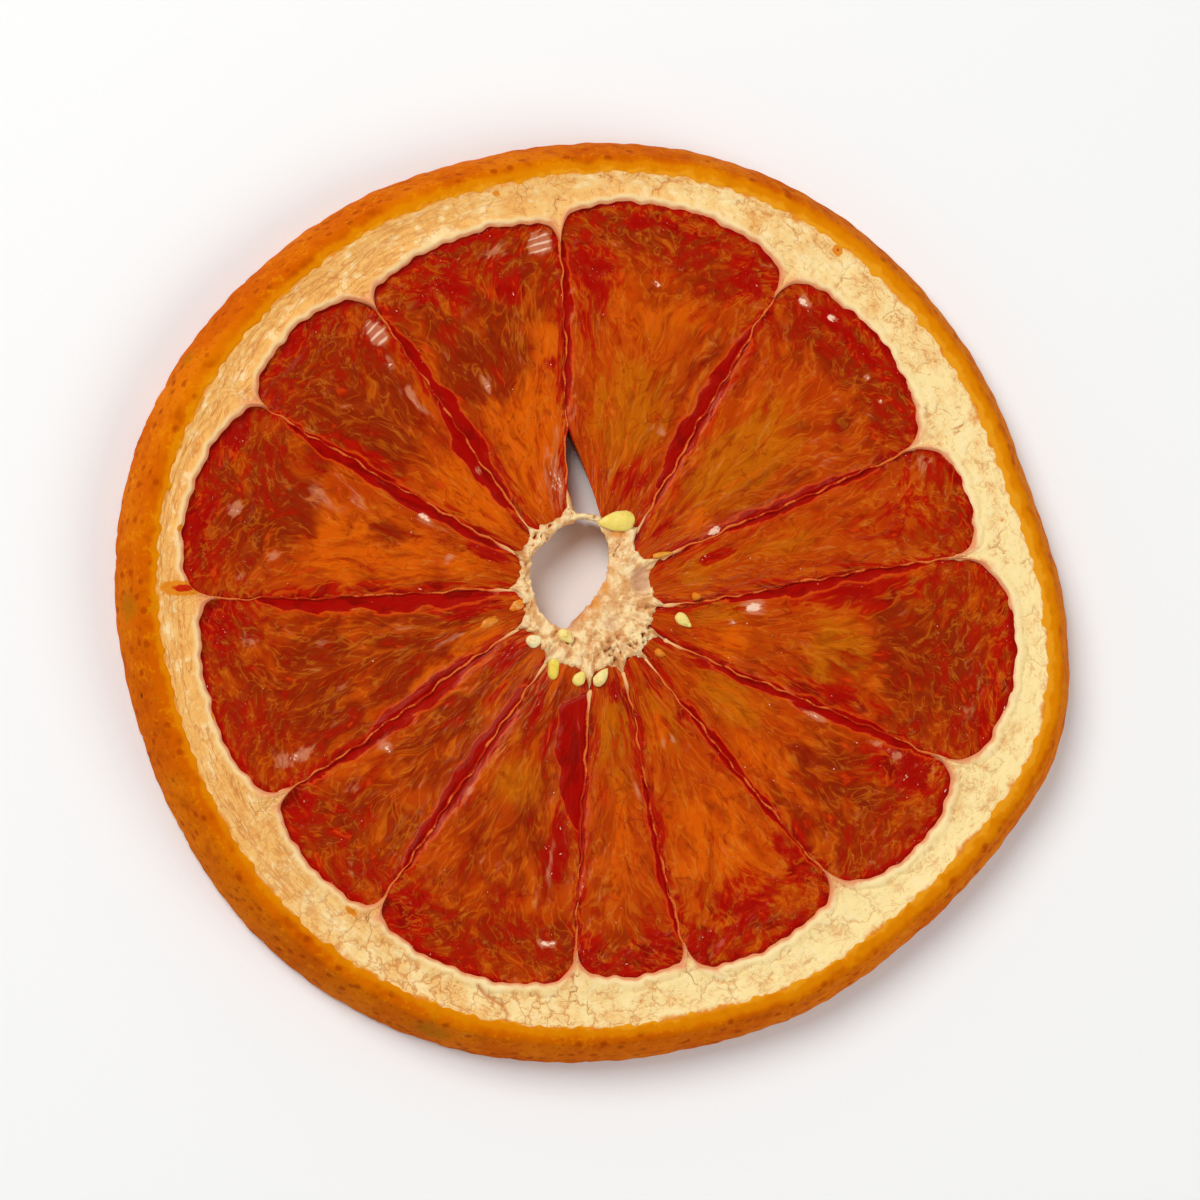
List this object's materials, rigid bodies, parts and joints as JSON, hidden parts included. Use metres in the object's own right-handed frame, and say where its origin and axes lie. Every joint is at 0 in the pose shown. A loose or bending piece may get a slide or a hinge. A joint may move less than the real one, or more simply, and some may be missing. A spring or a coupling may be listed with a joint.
{
  "type": "dried grapefruit slice",
  "caption": "Thin dried round slice of citrus fruit with an orange rind, a pale pith ring, shrunken red pulp segments and a hole in its core.",
  "frame": {"origin": "middle of the slice's bounding box in X and Y, on the flat underside of the peel ring", "axes": "+Z out of the upper cut face, +X towards the widest bulge of the ring, +Y towards the top edge as the picture shows it"},
  "size_m": [0.0924, 0.0872, 0.0058],
  "materials": {
    "pulp": "glossy, slightly sticky and see-through dried flesh, darker red beside the membranes",
    "pith": "dry, spongy and matte, cream to pale apricot with fine brownish fibres",
    "rind": "satin orange peel with small oil-gland pits",
    "membrane": "thin pinkish dried skin",
    "core": "dry, spongy and fibrous",
    "pip": "pale yellow, satin"
  },
  "bodies": {
    "root": {"slice": "pulp"}
  },
  "joints": []
}
